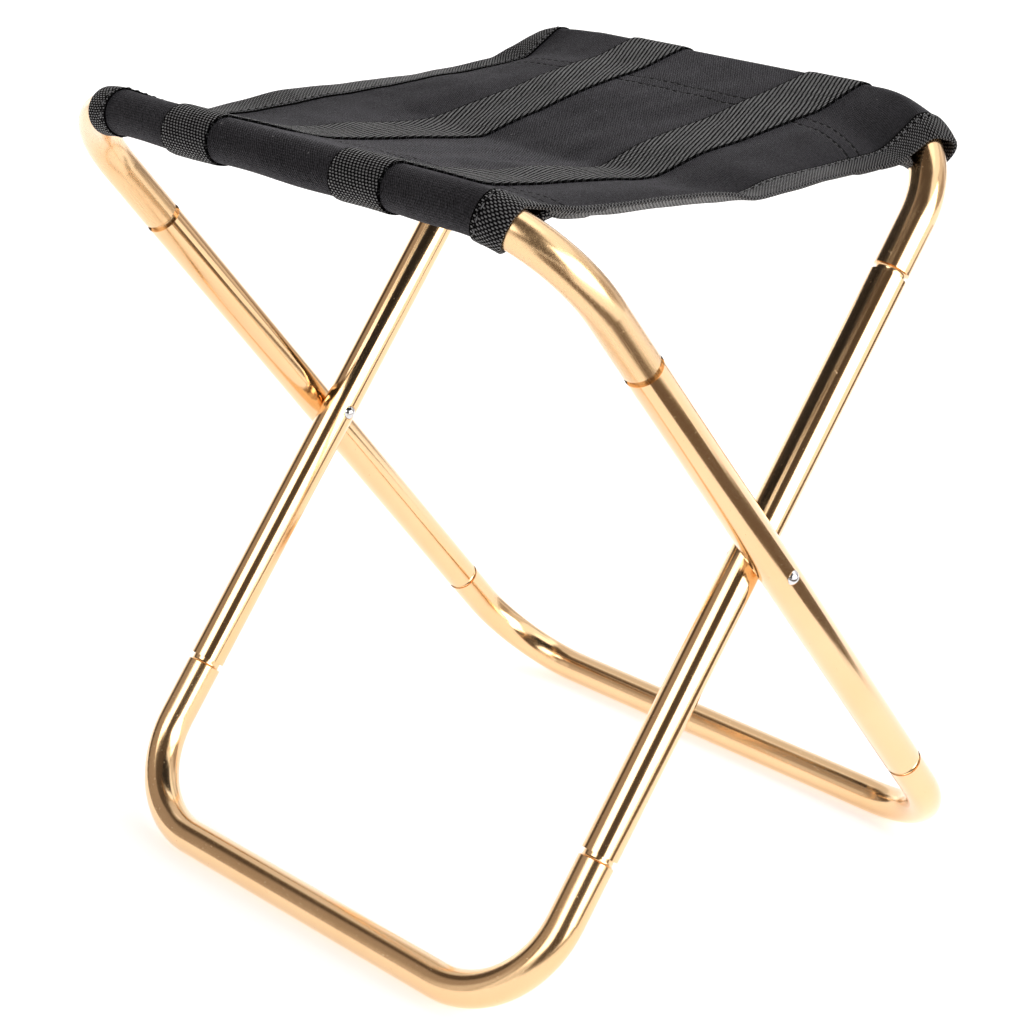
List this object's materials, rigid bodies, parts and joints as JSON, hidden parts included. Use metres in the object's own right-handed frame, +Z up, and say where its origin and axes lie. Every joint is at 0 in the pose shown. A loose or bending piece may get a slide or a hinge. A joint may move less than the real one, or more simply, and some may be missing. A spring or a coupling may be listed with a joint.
{
  "type": "folding camp stool",
  "caption": "Folding camp stool: a wide and a narrow tube frame crossed on rivets, with a black cloth seat sewn round both top rails.",
  "frame": {"origin": "on the floor, under the middle of the outline of the whole stool, at rest fully open", "axes": "+X along the rails to the right, +Z up, -Y towards the front edge of the seat (the rail of the wide frame)"},
  "size_m": [0.2432, 0.2458, 0.2797],
  "materials": {
    "gold_tube": "glossy champagne-gold anodised tube",
    "rivet_steel": "bright domed rivet",
    "seat_cloth": "black coated Oxford cloth, fine twill weave",
    "strap_webbing": "black flat woven webbing, diagonal rib",
    "edge_webbing": "black woven binding, fine rib"
  },
  "bodies": {
    "outer_frame": {"outer_top_bend": "gold_tube", "outer_bottom_bend": "gold_tube", "outer_leg_left": "gold_tube", "outer_leg_right": "gold_tube", "pivot_rivet_left": "rivet_steel", "pivot_rivet_right": "rivet_steel", "front_sleeve": "seat_cloth", "seat_panel": "seat_cloth", "left_strap": "strap_webbing", "left_strap_front_loop": "strap_webbing", "right_strap": "strap_webbing", "right_strap_front_loop": "strap_webbing", "left_binding": "edge_webbing", "left_binding_front_loop": "edge_webbing", "right_binding": "edge_webbing", "right_binding_front_loop": "edge_webbing"},
    "inner_frame": {"inner_top_bend": "gold_tube", "inner_bottom_bend": "gold_tube", "inner_leg_left": "gold_tube", "inner_leg_right": "gold_tube", "rear_sleeve": "seat_cloth", "left_strap_rear_loop": "strap_webbing", "right_strap_rear_loop": "strap_webbing", "left_binding_rear_loop": "edge_webbing", "right_binding_rear_loop": "edge_webbing"}
  },
  "joints": [
    {"name": "fold", "type": "hinge", "parent": "outer_frame", "child": "inner_frame", "pos_m": [0, -0.0009, 0.14], "axis": [1, 0, 0], "range_deg": [0, 72], "deforming": ["seat_panel", "left_strap", "right_strap", "left_binding", "right_binding"]}
  ]
}
